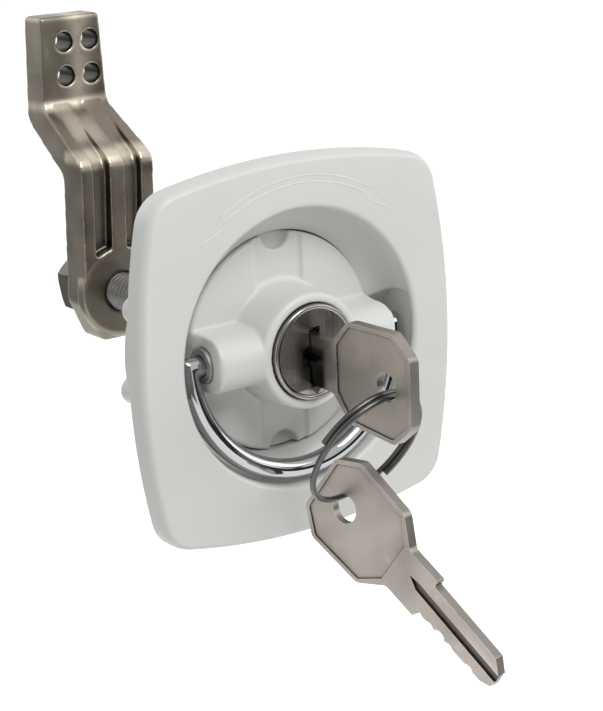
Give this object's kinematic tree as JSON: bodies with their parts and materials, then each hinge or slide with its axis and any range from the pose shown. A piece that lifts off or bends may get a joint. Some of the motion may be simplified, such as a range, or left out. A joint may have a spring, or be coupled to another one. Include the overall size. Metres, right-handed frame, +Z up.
{
  "type": "locking flush latch",
  "caption": "Flush hatch latch with a keyed turning handle: a lift ring in a round dish turns a spindle and cranked cam bar behind the panel, and a key bolt locks the rotor.",
  "frame": {"origin": "on the spindle axis, in the plane of the face plate's back, where it seats on the panel", "axes": "+Y along the spindle towards the cam bar, +Z up along the cam bar, the face plate looks along -Y"},
  "size_m": [0.07, 0.1315, 0.1073],
  "materials": {
    "white_polymer": "satin moulded white",
    "black_rubber": "matt black",
    "washer_polymer": "natural nylon",
    "spring_steel": "oiled spring steel",
    "bush_steel": "plain turned steel",
    "lock_steel": "brushed stainless",
    "zinc_steel": "zinc plated",
    "bronze_cast": "satin cast alloy with a bronze tone",
    "bronze_nut": "dark plated",
    "bright_chrome": "bright chrome",
    "wafer_brass": "stamped brass",
    "key_nickel": "stamped nickel silver",
    "dark_wire": "dark spring wire"
  },
  "bodies": {
    "housing": {"face_plate": "white_polymer", "flange_gasket": "black_rubber", "mounting_nut": "white_polymer"},
    "rotor": {"rotor": "white_polymer", "rotor_o_ring": "black_rubber", "thrust_washer": "washer_polymer", "retaining_ring": "spring_steel", "pivot_bushes": "bush_steel", "lock_shell": "lock_steel", "lock_clip": "spring_steel", "spindle": "zinc_steel", "spindle_pin": "zinc_steel", "cam_bar": "bronze_cast", "lock_washer": "spring_steel", "jam_nut": "bronze_nut"},
    "pull_ring": {"pull_ring": "bright_chrome"},
    "lock_plug": {"lock_plug": "lock_steel", "lock_wafers": "wafer_brass", "lock_drive": "zinc_steel", "drive_screw": "zinc_steel"},
    "lock_bolt": {"lock_bolt": "zinc_steel"},
    "key": {"key": "key_nickel"},
    "key_ring": {"key_ring": "dark_wire"},
    "spare_key": {"spare_key": "key_nickel"}
  },
  "joints": [
    {"name": "rotor_turn", "type": "hinge", "parent": "housing", "child": "rotor", "pos_m": [0, 0, 0], "axis": [0, 1, 0], "range_deg": [-90, 90]},
    {"name": "ring_lift", "type": "hinge", "parent": "rotor", "child": "pull_ring", "pos_m": [0, -0.001, 0], "axis": [-1, 0, 0], "range_deg": [0, 25]},
    {"name": "plug_turn", "type": "hinge", "parent": "rotor", "child": "lock_plug", "pos_m": [0, 0, 0], "axis": [0, 1, 0], "range_deg": [0, 90]},
    {"name": "bolt_throw", "type": "slide", "parent": "rotor", "child": "lock_bolt", "axis": [0, 0, -1], "range_m": [0, 0.0028]},
    {"name": "key_slide", "type": "slide", "parent": "lock_plug", "child": "key", "axis": [0, -1, 0], "range_m": [0, 0.03]},
    {"name": "key_ring_swing", "type": "hinge", "parent": "key", "child": "key_ring", "pos_m": [0, -0.03005, -0.0036], "axis": [1, 0, 0], "range_deg": [-25, 6]},
    {"name": "spare_key_swing", "type": "hinge", "parent": "key_ring", "child": "spare_key", "pos_m": [-0.00202, -0.01871, -0.02482], "axis": [0.993, 0.118, 0], "range_deg": [-10, 40]}
  ],
  "couplings": [
    {"joint": "bolt_throw", "follows": "plug_turn", "m_per_rad": 0.001782}
  ]
}
